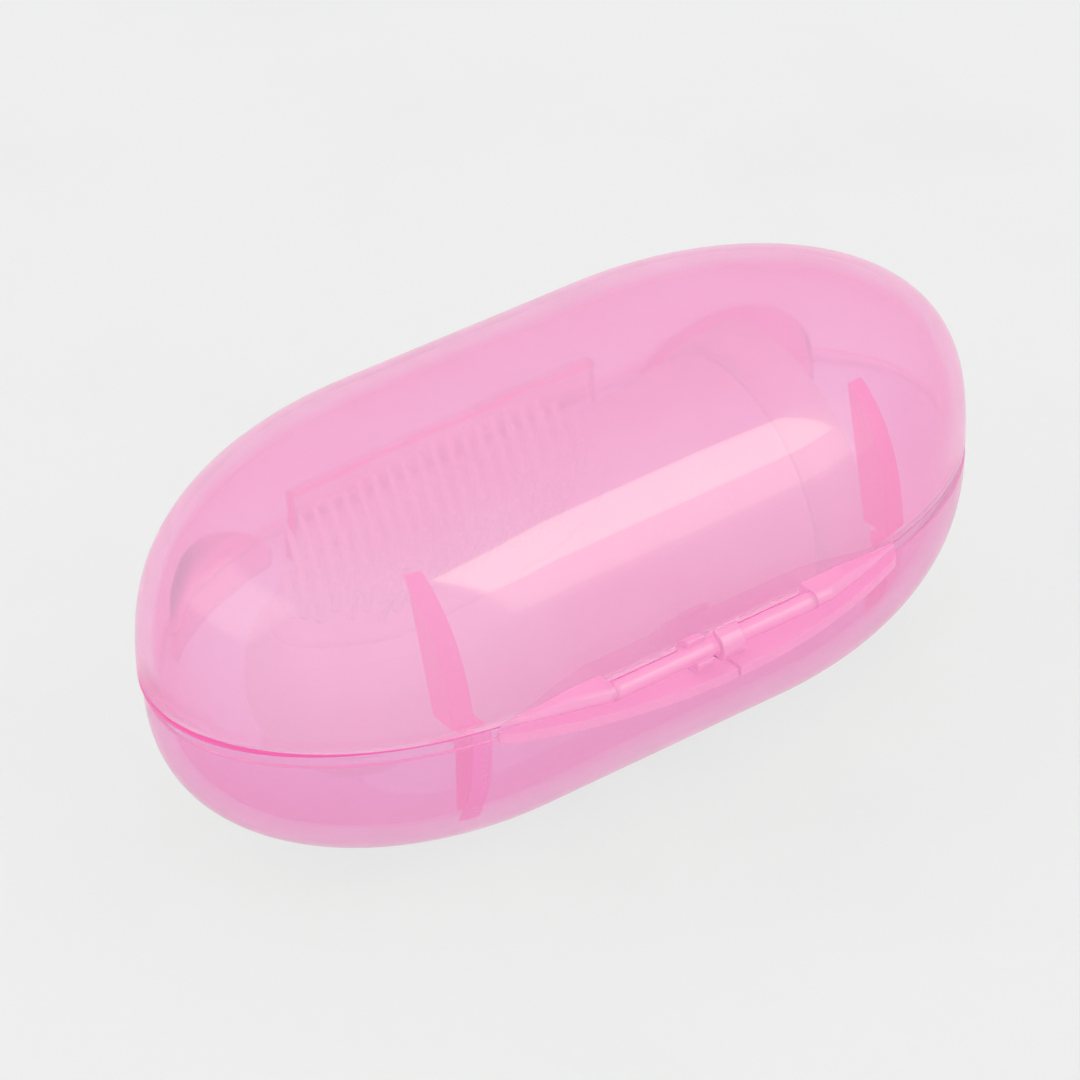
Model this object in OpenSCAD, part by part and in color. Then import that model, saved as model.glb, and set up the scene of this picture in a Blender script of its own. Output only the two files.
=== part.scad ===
// Finger toothbrush lying in its two-part pocket case.
// The case is a long rounded capsule that opens along its middle: a deep base, and a lid that
// swings on a rod held in two snap clips. A silicone thimble with a bristle pad lies inside.
// X runs along the case, Y from the hinge to the catch, Z up. The origin is on the surface
// that the case stands on, under the middle of its bounding box.

/* [Case] */
// Length of the closed case
case_len = 70; // [69:0.5:74]
// Width of the case without its hinge
case_w = 32; // [31.5:0.5:34]
// Height of the lid above the parting line
lid_h = 15.1; // [14.5:0.1:17]
// Depth of the base below the parting line
base_h = 14.5; // [14.3:0.1:16]
// Wall thickness of both halves
wall = 1.2; // [0.9:0.1:1.3]
// Length of each rounded end
end_len = 24.3; // [23:0.1:25.5]
// Squareness of the lid's cross-section, where 2 is an ellipse
lid_square = 3.0; // [2.8:0.1:3.4]
// Squareness of the base's cross-section, where 2 is an ellipse
base_square = 2.6; // [2.4:0.1:3.2]
// Depth of the flat that the case stands on, cut into the round bottom
foot_cut = 0.3; // [0.2:0.05:0.5]
// Gap between the two rims when the case is shut
rim_gap = 0.15; // [0.1:0.05:0.25]

/* [Hinge] */
// How far the ledge stands out from the base at its middle
ledge_reach = 3.8; // [3.6:0.1:4.4]
// Half the length of the ledge along the case
ledge_half = 18; // [16:0.5:19]
// Thickness of the ledge
ledge_t = 0.8; // [0.6:0.1:1]
// Height of the hinge axis above the parting line
axis_z = 0.65; // [0.6:0.05:0.75]
// Distance from the case wall to the hinge axis
axis_out = 1.5; // [1.5:0.05:1.7]
// Radius of the hinge rod
rod_r = 0.7; // [0.6:0.05:0.75]
// Radial play between the rod and its clips
rod_play = 0.06; // [0.03:0.01:0.09]

/* [Catch and fins] */
// Height of the catch tongue above the parting line
tongue_h = 3.3; // [2.5:0.1:4]
// Height of the two locating tabs above the parting line
tab_h = 5.1; // [4:0.1:5.5]
// Gap between the lid and the pieces that stand up inside it
lid_play = 0.45; // [0.4:0.05:0.6]
// Thickness of the cross fins
fin_t = 1.5; // [1:0.1:2]

/* [Brush] */
// Length of the silicone thimble
brush_len = 46.5; // [44:0.5:47]
// Outer radius of its domed tip
tip_r = 7.8; // [7:0.1:8]
// Outer radius of its open end
mouth_r = 10.3; // [9.5:0.1:10.4]
// Wall thickness of the thimble
brush_wall = 1.3; // [0.9:0.1:1.6]
// Distance between bristles
bristle_pitch = 1.25; // [1.15:0.05:1.6]
// Length of a bristle
bristle_len = 3.2; // [2:0.1:3.6]

/* [Hidden] */
$fn = 96;

eps = 0.01;
big = 100;
shell_steps = 20;
half_w = case_w / 2;
straight = case_len / 2 - end_len;
base_full = base_h + foot_cut;
axis_y = -half_w - axis_out;
ledge_edge = -half_w - ledge_reach;
frame_y = -(ledge_edge + half_w) / 2;
clear_pink = [0.96, 0.62, 0.80, 0.55];
deep_pink = [0.94, 0.50, 0.72];
milky_pink = [0.97, 0.80, 0.88];

// Rim step of the base
step_h = 0.75;
step_in = 0.15;

// Ledge: an arc of this radius through its tips and its middle, which lies at ledge_mid
ledge_mid = 0.8;
ledge_chord = ledge_reach + 0.15;
ledge_r = (ledge_half * ledge_half + ledge_chord * ledge_chord) / (2 * ledge_chord);
ledge_top = -0.25;
slot_w = 0.3;

// Wings on the lid, which carry the rod between them and slope down to the ledge's tips
wing_left_end = 8.8;
wing_right_end = 9.3;
wing_top = 1.3;
wing_tip_top = 0.35;
wing_full_part = 0.35;
wing_inset = 0.5;
barrel_r = 0.62;

// Snap clips
clip_t = 0.56;
clip_left_w = 1.5;
clip_left_x = -1.4;
clip_right_w = 2;
clip_right_x = 1.2;
clip_mouth = 80;

// Catch and locating tabs
tongue_left = -14.6;
tongue_right = 13.1;
tongue_root = 2.5;
tongue_t = 0.9;
bead_left = 2.8;
bead_r = 0.2;
bead_h = 0.5;
tab_t = 0.8;
tab_outer = 29.3;
tab_span = 12.3;
tab_root = 1.5;

// Cross fins on the hinge side
lid_fin_left_x = -19.6;
lid_fin_right_x = 19.3;
base_fin_left_x = -17.8;
base_fin_right_x = 19.6;
lid_fin_top = 11.5;
lid_fin_y = 9.9;
lid_fin_lean = 1.4;
base_fin_low = 10;
base_fin_y = 11.9;
base_fin_lean = 0.2;

// Where the thimble lies: the centre of its dome, its rise towards the mouth and its swing
brush_at = [-17.3, 2.6, -4.9];
brush_rise = 4.9;
brush_swing = -2.7;
cone_len = brush_len - tip_r;
cuff_w = 4.6;
cuff_t = 0.5;
cuff_round = 0.4;
pad_t = 0.6;
pad_half_w = 6.6;
pad_left = -5.4;
pad_right = 22;
bristle_r0 = 0.36;
bristle_r1 = 0.24;
bristle_rows = 4;
bristle_margin = 1.0;
bristle_root = 1.2;

// Outline points of a quarter superellipse with semi-axes r and h and squareness n
function quarter(r, h, n, k) =
  [for (i = [0:k]) let (a = 90 * i / k) [r * pow(cos(a), 2 / n), h * pow(sin(a), 2 / n)]];

// Solid upper half of a capsule, sitting on z = 0, shrunk by inset on every outer face
module half_capsule(h, n, inset) {
  r = half_w - inset;
  top = h - inset;
  side = quarter(r, top, n, shell_steps);
  section = concat(side, [for (i = [shell_steps - 1:-1:0]) [-side[i][0], side[i][1]]]);
  for (m = [0, 1])
    mirror([m, 0, 0])
      translate([straight, 0, 0])
        scale([(end_len - inset) / r, 1, 1])
          rotate([0, 0, -90])
            rotate_extrude(angle = 180)
              polygon(concat([[0, 0]], side));
  translate([-straight, 0, 0])
    rotate([90, 0, 90])
      linear_extrude(2 * straight)
        polygon(section);
}

// Upright prism on the case's plan outline, shrunk by inset, from z0 to z1
module plan_prism(inset, z0, z1) {
  r = half_w - inset;
  for (m = [0, 1])
    mirror([m, 0, 0])
      translate([straight, 0, z0])
        scale([(end_len - inset) / r, 1, 1])
          cylinder(r = r, h = z1 - z0);
  translate([-straight, -r, z0])
    cube([2 * straight, 2 * r, z1 - z0]);
}

module lid_form(inset) {
  half_capsule(lid_h, lid_square, inset);
}

module base_form(inset) {
  mirror([0, 0, 1])
    half_capsule(base_full, base_square, inset);
}

// The hollows of the two shells, each carried a hair past the parting line to cut it open
module lid_cavity() {
  translate([0, 0, -eps])
    lid_form(wall);
}

module base_cavity() {
  translate([0, 0, eps])
    base_form(wall);
}

// Outer form of the base: the capsule half, with its flat foot and its rim step
module base_outside() {
  difference() {
    base_form(0);
    translate([-big / 2, -big / 2, -base_h - big])
      cube(big);
    difference() {
      translate([-big / 2, -big / 2, -step_h])
        cube([big, big, 2 * step_h]);
      plan_prism(step_in, -2 * step_h, 2 * step_h);
    }
  }
}

// Half space above (side = 1) or below (side = -1) a level
module half_space(level, side) {
  translate([-big / 2, -big / 2, side > 0 ? level : level - big])
    cube(big);
}

// Half space on one side of the crosswise plane at x
module beyond_x(x, side) {
  translate([side > 0 ? x : x - big, -big / 2, -big / 2])
    cube(big);
}

// Moves what is modelled about the parting line's centre into the part's frame
module in_case() {
  translate([0, frame_y, base_h])
    children();
}

module base_shell() {
  color(deep_pink, 0.55)
    in_case()
      difference() {
        base_outside();
        base_cavity();
      }
}

// Thin web across the hinge side, between the wall and an inner edge given in (y, z)
module fin(x, edge) {
  z_top = edge[0][1];
  z_low = edge[len(edge) - 1][1];
  translate([x - fin_t / 2, 0, 0])
    rotate([90, 0, 90])
      linear_extrude(fin_t)
        polygon(concat(edge, [[-half_w - 1, z_low], [-half_w - 1, z_top]]));
}

module base_fin(x) {
  edge = [[-base_fin_y, -2 * rim_gap], [-base_fin_y + base_fin_lean, -base_fin_low]];
  color(deep_pink)
    in_case()
      intersection() {
        base_cavity();
        fin(x, edge);
      }
}

module base_fin_left() {
  base_fin(base_fin_left_x);
}

module base_fin_right() {
  base_fin(base_fin_right_x);
}

// Upright band that follows the far wall inside the lid, and spreads to the base wall below it
module inner_band(thickness, root, top) {
  intersection() {
    union() {
      difference() {
        plan_prism(wall + lid_play, -root, top);
        plan_prism(wall + lid_play + thickness, -root - 1, top + 1);
      }
      difference() {
        intersection() {
          base_cavity();
          half_space(-root, 1);
        }
        plan_prism(wall + lid_play + thickness, -root - 1, top + 1);
      }
    }
    translate([-big / 2, 0, -big / 2])
      cube(big);
  }
}

module base_catch_tongue() {
  color(deep_pink)
    in_case()
      intersection() {
        inner_band(tongue_t, tongue_root, tongue_h);
        beyond_x(tongue_left, 1);
        beyond_x(tongue_right, -1);
      }
}

// Low snap bead along the outside of the tongue, which the lid's wall clicks over
module base_catch_bead() {
  color(deep_pink)
    in_case()
      intersection() {
        difference() {
          plan_prism(wall + lid_play - bead_r, tongue_h - bead_h, tongue_h);
          plan_prism(wall + lid_play, tongue_h - 1, tongue_h + 1);
        }
        beyond_x(bead_left, 1);
        beyond_x(tongue_right, -1);
        translate([-big / 2, 0, -big / 2])
          cube(big);
      }
}

// Arched tab by one far corner: steep at its outer end, and sloping down towards the catch
module base_tab(side) {
  arch = [for (t = [0:1 / 16:1]) [
    side * (tab_outer - tab_span * t),
    tab_h * pow(sin(180 * pow(t, 0.55)), 0.7)
  ]];
  foot = [[side * (tab_outer - tab_span), -tab_root], [side * tab_outer, -tab_root]];
  color(deep_pink)
    in_case()
      intersection() {
        inner_band(tab_t, tab_root, tab_h + 1);
        rotate([90, 0, 0])
          translate([0, 0, -big / 2])
            linear_extrude(big)
              polygon(concat(arch, foot));
      }
}

module base_tab_left() {
  base_tab(-1);
}

module base_tab_right() {
  base_tab(1);
}

// Upright cylinder on the ledge's arc, shrunk by inset, from z0 to z1
module ledge_arc(inset, z0, z1) {
  translate([ledge_mid, ledge_edge + inset + ledge_r, z0])
    cylinder(r = ledge_r, h = z1 - z0, $fn = 192);
}

// Half of the crescent ledge, on one side of the slot at its middle
module hinge_ledge(side) {
  color(deep_pink)
    in_case()
      difference() {
        ledge_arc(0, ledge_top - ledge_t, ledge_top);
        base_outside();
        plan_prism(step_in, -step_h, step_h);
        translate([-big, -half_w + 4, -big / 2])
          cube(2 * big);
        beyond_x(ledge_mid + side * slot_w / 2, -side);
        beyond_x(ledge_mid + side * ledge_half, side);
      }
}

module hinge_ledge_left() {
  hinge_ledge(-1);
}

module hinge_ledge_right() {
  hinge_ledge(1);
}

// C-shaped finger on the ledge that snaps around the rod: its mouth is up, and outwards
// (facing = 1) or towards the case (facing = -1)
module hinge_clip(x, w, facing) {
  inner = rod_r + rod_play;
  color(deep_pink)
    in_case()
      intersection() {
        translate([x - w / 2, axis_y, axis_z])
          rotate([0, 90, 0])
            rotate([0, 0, 45 * facing + clip_mouth / 2])
              difference() {
                cylinder(r = inner + clip_t, h = w);
                translate([0, 0, -1])
                  cylinder(r = inner, h = w + 2);
                rotate([0, 0, 180 - clip_mouth])
                  translate([0, 0, -1])
                    linear_extrude(w + 2)
                      polygon([[0, 0], [4, 0], [4 * cos(clip_mouth), 4 * sin(clip_mouth)]]);
              }
        half_space(ledge_top, 1);
      }
}

module hinge_clip_left() {
  hinge_clip(clip_left_x, clip_left_w, 1);
}

module hinge_clip_right() {
  hinge_clip(clip_right_x, clip_right_w, -1);
}

module lid_shell() {
  color(clear_pink)
    in_case()
      intersection() {
        difference() {
          lid_form(0);
          lid_cavity();
        }
        half_space(rim_gap, 1);
      }
}

module lid_fin(x) {
  edge = [[-lid_fin_y, lid_fin_top], [-lid_fin_y - lid_fin_lean, 2 * rim_gap]];
  color(clear_pink)
    in_case()
      intersection() {
        lid_cavity();
        fin(x, edge);
      }
}

module lid_fin_left() {
  lid_fin(lid_fin_left_x);
}

module lid_fin_right() {
  lid_fin(lid_fin_right_x);
}

// Side view of a wing as a crosswise prism: full height beside the rod, then down to its tip
module wing_profile(inner_x, side) {
  low = rim_gap / 3;
  tip = ledge_half + side * ledge_mid;
  full = inner_x + (tip - inner_x) * wing_full_part;
  outline = [
    [inner_x, low], [inner_x, wing_top], [full, wing_top], [tip, wing_tip_top], [tip, low]
  ];
  translate([0, big / 2, 0])
    rotate([90, 0, 0])
      linear_extrude(big)
        polygon([for (p = outline) [side * p[0], p[1]]]);
}

// Wedge-shaped wing on the lid's wall, with a round nose about the hinge axis
module hinge_wing(inner_x, side) {
  color(deep_pink)
    in_case()
      difference() {
        intersection() {
          union() {
            translate([-big / 2, axis_y, rim_gap])
              cube([big, axis_out + 1, wing_top - rim_gap]);
            translate([-big / 2, axis_y, axis_z])
              rotate([0, 90, 0])
                cylinder(r = barrel_r, h = big);
          }
          ledge_arc(wing_inset, -big / 2, big / 2);
          wing_profile(inner_x, side);
        }
        lid_form(0);
      }
}

module hinge_wing_left() {
  hinge_wing(wing_left_end, -1);
}

module hinge_wing_right() {
  hinge_wing(wing_right_end, 1);
}

module hinge_rod() {
  color(deep_pink)
    in_case()
      translate([-wing_left_end, axis_y, axis_z])
        rotate([0, 90, 0])
          cylinder(r = rod_r, h = wing_left_end + wing_right_end);
}

// Places the thimble, modelled with its dome's centre at the origin and its mouth towards +X
module lying() {
  in_case()
    translate(brush_at)
      rotate([0, -brush_rise, brush_swing])
        children();
}

// Solid thimble form, grown by skin: a dome, then a cone that widens to the mouth
module thimble_form(skin) {
  r0 = tip_r + skin;
  r1 = mouth_r + skin;
  dome = [for (i = [0:16]) let (a = 90 * i / 16) [r0 * sin(a), -r0 * cos(a)]];
  rotate([0, 90, 0])
    rotate_extrude()
      polygon(concat(dome, [[r1, cone_len], [0, cone_len]]));
}

module brush_sleeve() {
  color(milky_pink)
    lying()
      difference() {
        thimble_form(0);
        thimble_form(-brush_wall);
        translate([cone_len - eps, 0, 0])
          rotate([0, 90, 0])
            cylinder(r = mouth_r - brush_wall, h = 1);
      }
}

// Thick band around the mouth
module brush_cuff() {
  taper = (mouth_r - tip_r) / cone_len;
  outside = [
    [mouth_r - cuff_w * taper, cone_len - cuff_w],
    [mouth_r - (cuff_w - cuff_round) * taper + cuff_t, cone_len - cuff_w + cuff_round],
    [mouth_r + cuff_t, cone_len - cuff_round],
    [mouth_r + cuff_t - cuff_round, cone_len],
    [mouth_r, cone_len]
  ];
  color(milky_pink)
    lying()
      rotate([0, 90, 0])
        rotate_extrude()
          polygon(outside);
}

// Plan outline of the bristle pad: a long oval, grown by extra
module pad_outline(extra) {
  r = pad_half_w + extra;
  for (x = [pad_left + pad_half_w, pad_right - pad_half_w])
    translate([x, 0, 0])
      cylinder(r = r, h = big);
  translate([pad_left + pad_half_w, -r, 0])
    cube([pad_right - pad_left - 2 * pad_half_w, 2 * r, big]);
}

module brush_pad() {
  color(milky_pink)
    lying()
      difference() {
        intersection() {
          thimble_form(pad_t);
          pad_outline(0);
        }
        thimble_form(0);
      }
}

// Whether a bristle at (x, y) stands on the pad, clear of its edge
function on_pad(x, y) =
  let (
    r = pad_half_w - bristle_margin,
    a = max(0, max(pad_left + pad_half_w - x, x - pad_right + pad_half_w))
  ) a * a + y * y <= r * r;

// Height of the pad's surface at (x, y), in the thimble's own frame
function pad_z(x, y) =
  let (
    r0 = tip_r + pad_t,
    r = x < 0 ? sqrt(r0 * r0 - x * x) : r0 + (mouth_r - tip_r) * x / cone_len
  ) sqrt(r * r - y * y);

module brush_bristles() {
  columns = ceil((pad_right - pad_left) / bristle_pitch);
  color(milky_pink)
    lying()
      difference() {
        for (j = [-bristle_rows:bristle_rows], i = [0:columns]) {
          x = pad_left + (i + 0.5 * abs(j % 2)) * bristle_pitch;
          y = j * bristle_pitch;
          if (on_pad(x, y))
            translate([x, y, pad_z(x, y) - bristle_root])
              cylinder(r1 = bristle_r0, r2 = bristle_r1, h = bristle_len + bristle_root, $fn = 24);
        }
        thimble_form(pad_t);
      }
}

base_shell();
base_fin_left();
base_fin_right();
base_catch_tongue();
base_catch_bead();
base_tab_left();
base_tab_right();
hinge_ledge_left();
hinge_ledge_right();
hinge_clip_left();
hinge_clip_right();
lid_shell();
lid_fin_left();
lid_fin_right();
hinge_wing_left();
hinge_wing_right();
hinge_rod();
brush_sleeve();
brush_cuff();
brush_pad();
brush_bristles();
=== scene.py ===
"""Finger toothbrush lying in its clear pink two-part pocket case.

The case is a rounded capsule that opens along its middle. The base has a crescent ledge with two
snap clips; the lid carries a rod between two wings, and swings on it. A silicone thimble with a
pad of bristles lies inside. Sizes are in millimetres, measured from the middle of the case on its
parting line, and place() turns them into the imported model's frame.
"""

from __future__ import annotations

import logging
import math
from dataclasses import dataclass
from enum import Enum
from typing import Any, Callable, ClassVar, Dict, List, Optional, Sequence, Tuple, Union

import bmesh
import bpy
from mathutils import Matrix, Vector

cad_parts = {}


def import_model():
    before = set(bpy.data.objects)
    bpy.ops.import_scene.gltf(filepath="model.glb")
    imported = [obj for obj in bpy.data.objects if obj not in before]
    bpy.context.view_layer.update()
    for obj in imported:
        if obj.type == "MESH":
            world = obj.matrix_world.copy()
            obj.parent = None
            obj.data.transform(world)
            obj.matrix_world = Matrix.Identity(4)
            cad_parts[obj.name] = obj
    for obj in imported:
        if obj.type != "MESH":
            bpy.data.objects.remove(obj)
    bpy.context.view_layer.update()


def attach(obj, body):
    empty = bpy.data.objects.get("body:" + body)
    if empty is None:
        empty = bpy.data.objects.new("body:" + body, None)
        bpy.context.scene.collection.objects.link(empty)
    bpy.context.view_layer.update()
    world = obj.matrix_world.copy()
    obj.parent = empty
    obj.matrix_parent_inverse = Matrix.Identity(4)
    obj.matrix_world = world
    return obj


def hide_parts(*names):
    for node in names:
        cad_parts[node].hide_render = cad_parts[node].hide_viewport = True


LOG = logging.getLogger("pocket_case")
Point = Tuple[float, float, float]
Flat = Tuple[float, float]
Skin = Tuple[List[Point], List[List[int]]]
Levels = Tuple[int, int, int]
Colour = Tuple[float, float, float, float]
Number = Union[float, "Value"]
Material = bpy.types.Material
MM = 0.001
SHIFT: Point = (0.0, 1.9, 14.5)  # from the model's origin to the middle of the case
WELD = 0.0005  # points closer than this become one
GAP = 0.02  # kept between pieces that meet, so that no two clear faces overlap


class Side(Enum):
    """Which way a piece stands from the middle of the case."""

    LEFT = -1
    RIGHT = 1

    @property
    def word(self) -> str:
        """The side as it's written in the names of pieces."""
        return self.name.lower()


class Half(Enum):
    """The two halves of the case, as the way that each bulges."""

    LID = 1
    BASE = -1


# --- Shader maths ---


@dataclass(frozen=True)
class Value:
    """One output socket of a node tree, with arithmetic that adds Math nodes."""

    tree: bpy.types.NodeTree
    socket: Optional[bpy.types.NodeSocket]

    def _math(self, operation: str, *terms: Number, clamp: bool = False) -> Value:
        """Adds one Math node.

        Args:
            operation: The Math node's operation.
            terms: Its inputs, in order.
            clamp: Whether the result is held between 0 and 1.

        Returns:
            The node's result.
        """
        node = self.tree.nodes.new("ShaderNodeMath")
        node.operation = operation
        node.use_clamp = clamp
        for socket, term in zip(node.inputs, terms):
            if isinstance(term, Value):
                self.tree.links.new(term.socket, socket)
            else:
                socket.default_value = float(term)
        return Value(self.tree, node.outputs[0])

    def __add__(self, other: Number) -> Value:
        """Sum."""
        return self._math("ADD", self, other)

    def __radd__(self, other: Number) -> Value:
        """Sum, reflected."""
        return self._math("ADD", other, self)

    def __sub__(self, other: Number) -> Value:
        """Difference."""
        return self._math("SUBTRACT", self, other)

    def __rsub__(self, other: Number) -> Value:
        """Difference, reflected."""
        return self._math("SUBTRACT", other, self)

    def __mul__(self, other: Number) -> Value:
        """Product."""
        return self._math("MULTIPLY", self, other)

    def __rmul__(self, other: Number) -> Value:
        """Product, reflected."""
        return self._math("MULTIPLY", other, self)

    def clamped(self) -> Value:
        """The value held between 0 and 1."""
        return self._math("ADD", self, 0.0, clamp=True)


class Nodes:
    """Adds nodes to one empty node tree."""

    def __init__(self, tree: bpy.types.NodeTree) -> None:
        """Empties the tree.

        Args:
            tree: The tree.
        """
        self.tree = tree
        self.tree.nodes.clear()

    def node(
        self,
        kind: str,
        output: Union[int, str] = 0,
        settings: Optional[Dict[str, Any]] = None,
        **sockets: Any,
    ) -> Value:
        """Adds any node.

        Args:
            kind: The node's type.
            output: Which output is returned.
            settings: Its settings, which are set first.
            sockets: Values or links for its inputs, named with underscores for spaces, or in0, in1
                for inputs by number.

        Returns:
            The chosen output.
        """
        made = self.tree.nodes.new(kind)
        for key, setting in (settings or {}).items():
            setattr(made, key, setting)
        for key, given in sockets.items():
            number = key[:2] == "in" and key[2:].isdigit()
            socket = made.inputs[int(key[2:]) if number else key.replace("_", " ")]
            if isinstance(given, Value):
                self.tree.links.new(given.socket, socket)
            else:
                socket.default_value = given
        return Value(self.tree, made.outputs[output] if made.outputs else None)

    def ray(self, kind: str) -> Value:
        """Whether a ray is of a kind, such as Is Camera Ray."""
        return self.node("ShaderNodeLightPath", kind)

    def mix_shaders(self, share: Value, first: Value, second: Value) -> Value:
        """Two shaders mixed, by the share of the second."""
        return self.node("ShaderNodeMixShader", in0=share, in1=first, in2=second)


class Recipe(Nodes):
    """Builds one material's node tree."""

    def __init__(self, name: str) -> None:
        """Makes an empty material.

        Args:
            name: The material's name.
        """
        self.material = bpy.data.materials.new(name)
        self.material.use_nodes = True
        super().__init__(self.material.node_tree)

    def noise(self, scale: float, detail: float, roughness: float) -> Value:
        """Soft noise that is fixed to the piece.

        Args:
            scale: Features per metre.
            detail: Octaves.
            roughness: Strength of the finer octaves.

        Returns:
            The noise's factor, about 0.5 on average.
        """
        return self.node(
            "ShaderNodeTexNoise", "Fac", {"noise_dimensions": "3D"},
            Vector=self.node("ShaderNodeTexCoord", "Object"),
            Scale=scale, Detail=detail, Roughness=roughness,
        )

    def ramp(self, value: Value, low: float, high: float) -> Value:
        """Smooth step from 0 where the value is low to 1 where it is high."""
        smooth = {"interpolation_type": "SMOOTHSTEP"}
        return self.node("ShaderNodeMapRange", 0, smooth, Value=value, in1=low, in2=high)

    def mix_colours(self, share: Value, first: Colour, second: Colour) -> Value:
        """Two colours mixed, by the share of the second."""
        kind = {"data_type": "RGBA"}
        return self.node("ShaderNodeMix", 2, kind, in0=share, in6=first, in7=second)

    def lit_through(self, shader: Value, tint: Colour) -> Value:
        """Lets lamp light and stray light pass straight through a clear surface.

        Args:
            shader: The surface's shader.
            tint: What the light takes on as it crosses the surface.

        Returns:
            The shader with that way through.
        """
        clear = self.node("ShaderNodeBsdfTransparent", Color=tint)
        seen = self.mix_shaders(self.ray("Is Diffuse Ray"), shader, clear)
        return self.mix_shaders(self.ray("Is Shadow Ray"), seen, clear)

    def finish(self, shader: Value) -> Material:
        """Gives the material its surface, and returns it."""
        self.node("ShaderNodeOutputMaterial", Surface=shader)
        return self.material


def colour(red: float, green: float, blue: float) -> Colour:
    """A colour from 0 to 255 screen levels, as linear light.

    Args:
        red: Red level.
        green: Green level.
        blue: Blue level.

    Returns:
        Linear red, green, blue and an opacity of 1.
    """

    def linear(level: float) -> float:
        """One channel."""
        share = level / 255.0
        return share / 12.92 if share <= 0.04045 else ((share + 0.055) / 1.055) ** 2.4

    return (linear(red), linear(green), linear(blue), 1.0)


# --- Finishes ---


@dataclass(frozen=True)
class ClearPlastic:
    """Clear tinted plastic or silicone with a milky haze in it.

    Most of the surface bends and passes light; the rest is the milky body. The tint goes from pale
    to deep where the wall is seen edge-on, and the haze, gloss and surface carry soft moulding
    ripples. Lamp light passes straight through, so that what lies inside is lit. Colours are in
    screen levels, scales in features per metre, and the depth of the ripples in metres.
    """

    name: str
    pale: Levels
    deep: Levels
    clear: float
    gloss: float
    lamp_tint: Colour = (1.0, 0.994, 0.997, 1.0)
    ior: float = 1.47
    coat: float = 1.0
    coat_ior: float = 1.7
    coat_fade: float = 0.9
    polish: float = 0.035
    edge_blend: float = 0.4
    edge_tint: float = 1.1
    edge_start: float = 0.05
    cloud_scale: float = 85.0
    cloud_tint: float = 0.35
    cloud_gloss: float = 0.04
    grain: float = 0.03
    grain_scale: float = 2600.0
    ripple: float = 0.25
    ripple_scale: float = 150.0
    ripple_depth: float = 0.0004

    def make(self) -> Material:
        """Builds the material.

        Returns:
            The finished material.
        """
        mix = Recipe(self.name)
        cloud = mix.noise(self.cloud_scale, 3.0, 0.55) - 0.5
        fine = mix.noise(self.grain_scale, 2.0, 0.6) - 0.5
        edge = mix.node("ShaderNodeLayerWeight", "Facing", Blend=self.edge_blend)
        shade = (edge * self.edge_tint + cloud * self.cloud_tint - self.edge_start).clamped()
        waves = mix.noise(self.ripple_scale, 2.0, 0.5)
        solid = mix.node(
            "ShaderNodeBsdfPrincipled",
            Base_Color=mix.mix_colours(shade, colour(*self.pale), colour(*self.deep)),
            Roughness=(self.gloss + cloud * self.cloud_gloss + fine * self.grain).clamped(),
            IOR=self.ior,
            Transmission_Weight=self.clear,
            Specular_IOR_Level=0.5 * (1.0 - self.coat),
            Coat_Weight=(1.0 - edge * self.coat_fade) * self.coat,
            Coat_Roughness=self.polish,
            Coat_IOR=self.coat_ior,
            Normal=mix.node(
                "ShaderNodeBump", Height=waves, Strength=self.ripple, Distance=self.ripple_depth
            ),
        )
        return mix.finish(mix.lit_through(solid, self.lamp_tint))


@dataclass(frozen=True)
class TableTop:
    """Pale matt table with the faintest smudges."""

    name: str = "pale_table"
    tone: Colour = colour(238, 239, 238)
    rough: float = 0.9
    smudge_scale: float = 30.0
    smudge_shade: float = 0.985

    def make(self) -> Material:
        """Builds the material.

        Returns:
            The finished material.
        """
        mix = Recipe(self.name)
        smudge = mix.ramp(mix.noise(self.smudge_scale, 3.0, 0.6), 0.45, 0.75)
        darker = tuple(c * self.smudge_shade for c in self.tone[:3]) + (1.0,)
        tone = mix.mix_colours(smudge, self.tone, darker)
        solid = mix.node(
            "ShaderNodeBsdfPrincipled", Base_Color=tone, Roughness=self.rough, Specular_IOR_Level=0.0
        )
        return mix.finish(solid)


# --- Mesh making ---


def place(point: Sequence[float]) -> Vector:
    """A point in millimetres about the middle of the case, as a point of the model in metres."""
    return Vector(tuple((p + s) * MM for p, s in zip(point, SHIFT)))


def stand(name: str, data: bpy.types.ID) -> bpy.types.Object:
    """Puts a new object into the scene.

    Args:
        name: Its name.
        data: Its mesh, lamp or camera.

    Returns:
        The object.
    """
    made = bpy.data.objects.new(name, data)
    bpy.context.scene.collection.objects.link(made)
    return made


def spread(first: float, last: float, steps: int) -> List[float]:
    """Evenly spaced numbers from the first to the last, both included."""
    return [first + (last - first) * i / steps for i in range(steps + 1)]


def unit(number: float) -> float:
    """The number held between 0 and 1."""
    return min(1.0, max(0.0, number))


def arc(centre: Flat, radius: float, start: float, end: float, steps: int) -> List[Flat]:
    """Points on an arc.

    Args:
        centre: Its centre.
        radius: Its radius.
        start: First angle in degrees.
        end: Last angle in degrees.
        steps: Number of steps.

    Returns:
        The points.
    """
    turns = [math.radians(turn) for turn in spread(start, end, steps)]
    return [(centre[0] + radius * math.cos(a), centre[1] + radius * math.sin(a)) for a in turns]


def join(rings: Sequence[Sequence[Point]], caps: bool = False) -> Skin:
    """Joins rings of equal point counts into a skin.

    Args:
        rings: The rings, in order.
        caps: Whether the first and last rings are closed by a face.

    Returns:
        Points and faces.
    """
    count = len(rings[0])
    points = [p for ring in rings for p in ring]
    faces = []
    for low in range(0, len(points) - count, count):
        for j in range(count):
            k = (j + 1) % count
            faces.append([low + j, low + k, low + count + k, low + count + j])
    if caps:
        faces.append(list(range(count))[::-1])
        faces.append(list(range(len(points) - count, len(points))))
    return points, faces


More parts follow.
